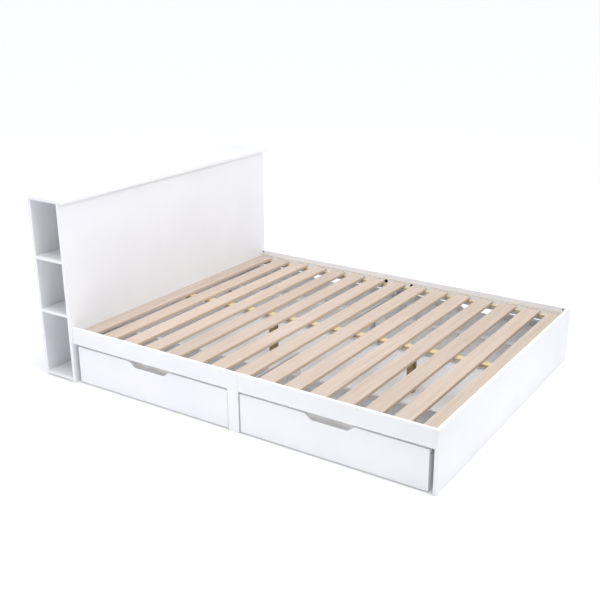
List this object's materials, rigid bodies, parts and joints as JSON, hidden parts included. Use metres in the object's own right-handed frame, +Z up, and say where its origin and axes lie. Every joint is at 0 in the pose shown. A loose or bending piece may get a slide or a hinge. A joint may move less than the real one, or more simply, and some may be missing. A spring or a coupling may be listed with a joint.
{
  "type": "platform bed with storage drawers",
  "caption": "White double platform bed with flat timber slats, a side-shelved storage headboard and drawers with hand notches along both sides.",
  "frame": {"origin": "on the floor, below the middle of the bed's overall length and width", "axes": "+X from the headboard to the foot, +Y to the right of someone at the foot who looks at the headboard, +Z up"},
  "size_m": [2.256, 1.666, 0.955],
  "materials": {
    "white_board": "satin white melamine on chipboard",
    "slat_wood": "planed, unvarnished",
    "pine": "planed softwood, unvarnished",
    "leg_wood": "planed softwood, unvarnished"
  },
  "bodies": {
    "frame": {"headboard_front_panel": "white_board", "headboard_back_panel": "white_board", "headboard_top": "white_board", "headboard_base": "white_board", "left_divider": "white_board", "left_upper_shelf": "white_board", "left_lower_shelf": "white_board", "right_divider": "white_board", "right_upper_shelf": "white_board", "right_lower_shelf": "white_board", "foot_panel": "white_board", "left_head_rail": "white_board", "left_foot_rail": "white_board", "left_ledge": "white_board", "left_batten": "pine", "left_partition": "white_board", "right_head_rail": "white_board", "right_foot_rail": "white_board", "right_ledge": "white_board", "right_batten": "pine", "right_partition": "white_board", "centre_beam": "pine", "centre_leg_head": "leg_wood", "centre_leg_foot": "leg_wood", "slat_01": "slat_wood", "slat_02": "slat_wood", "slat_03": "slat_wood", "slat_04": "slat_wood", "slat_05": "slat_wood", "slat_06": "slat_wood", "slat_07": "slat_wood", "slat_08": "slat_wood", "slat_09": "slat_wood", "slat_10": "slat_wood", "slat_11": "slat_wood", "slat_12": "slat_wood", "slat_13": "slat_wood", "slat_14": "slat_wood", "slat_15": "slat_wood"},
    "left_head_drawer": {"left_head_drawer_front": "white_board", "left_head_drawer_back": "white_board", "left_head_drawer_head_wall": "white_board", "left_head_drawer_foot_wall": "white_board", "left_head_drawer_bottom": "white_board"},
    "left_foot_drawer": {"left_foot_drawer_front": "white_board", "left_foot_drawer_back": "white_board", "left_foot_drawer_head_wall": "white_board", "left_foot_drawer_foot_wall": "white_board", "left_foot_drawer_bottom": "white_board"},
    "right_head_drawer": {"right_head_drawer_front": "white_board", "right_head_drawer_back": "white_board", "right_head_drawer_head_wall": "white_board", "right_head_drawer_foot_wall": "white_board", "right_head_drawer_bottom": "white_board"},
    "right_foot_drawer": {"right_foot_drawer_front": "white_board", "right_foot_drawer_back": "white_board", "right_foot_drawer_head_wall": "white_board", "right_foot_drawer_foot_wall": "white_board", "right_foot_drawer_bottom": "white_board"}
  },
  "joints": [
    {"name": "left_head_drawer_slide", "type": "slide", "parent": "frame", "child": "left_head_drawer", "axis": [0, -1, 0], "range_m": [0, 0.33]},
    {"name": "left_foot_drawer_slide", "type": "slide", "parent": "frame", "child": "left_foot_drawer", "axis": [0, -1, 0], "range_m": [0, 0.33]},
    {"name": "right_head_drawer_slide", "type": "slide", "parent": "frame", "child": "right_head_drawer", "axis": [0, 1, 0], "range_m": [0, 0.33]},
    {"name": "right_foot_drawer_slide", "type": "slide", "parent": "frame", "child": "right_foot_drawer", "axis": [0, 1, 0], "range_m": [0, 0.33]}
  ]
}
